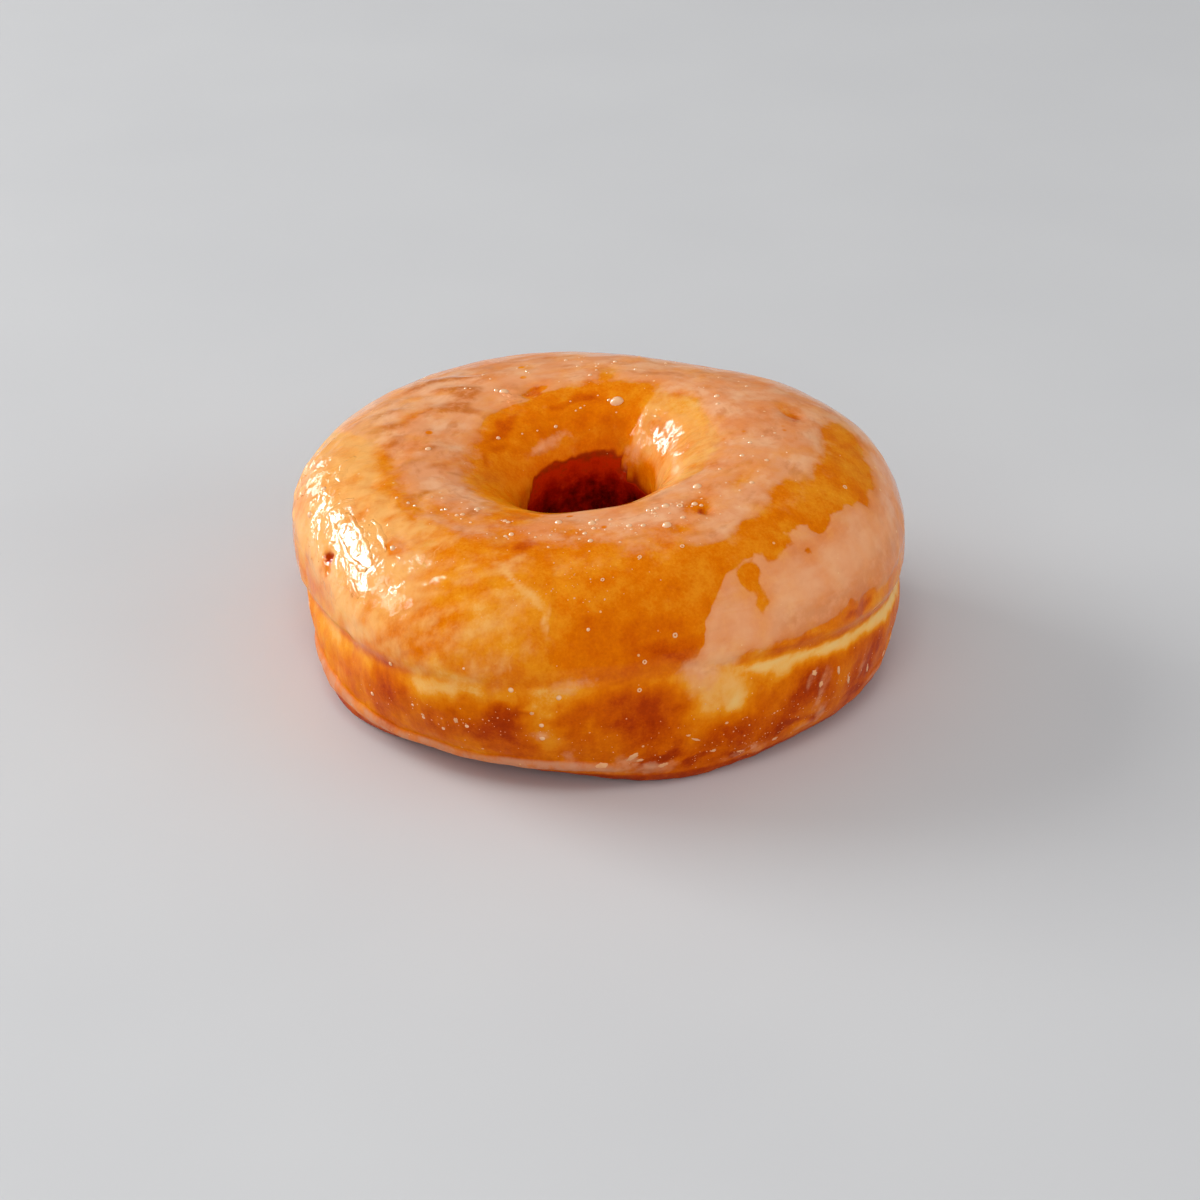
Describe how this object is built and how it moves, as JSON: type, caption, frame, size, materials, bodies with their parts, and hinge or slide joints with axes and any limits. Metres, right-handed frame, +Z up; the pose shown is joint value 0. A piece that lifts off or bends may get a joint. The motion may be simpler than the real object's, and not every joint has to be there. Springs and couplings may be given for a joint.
{
  "type": "ring doughnut",
  "caption": "Round fried yeast-dough ring with a domed top, a flat base, a funnel-shaped hole and a thin cracked sugar glaze.",
  "frame": {"origin": "centre of the base's bounding box, on the surface that the doughnut rests on", "axes": "+Z up along the hole, -Y towards the front that the picture shows, +X to that view's right"},
  "size_m": [0.0978, 0.099, 0.0387],
  "materials": {
    "crust": "golden-brown fried crust with a soft sheen of fat, pale along the crease",
    "glaze": "thin glossy sugar glaze, clear amber in places and milky in others"
  },
  "bodies": {
    "root": {"dough_ring": "crust"}
  },
  "joints": []
}
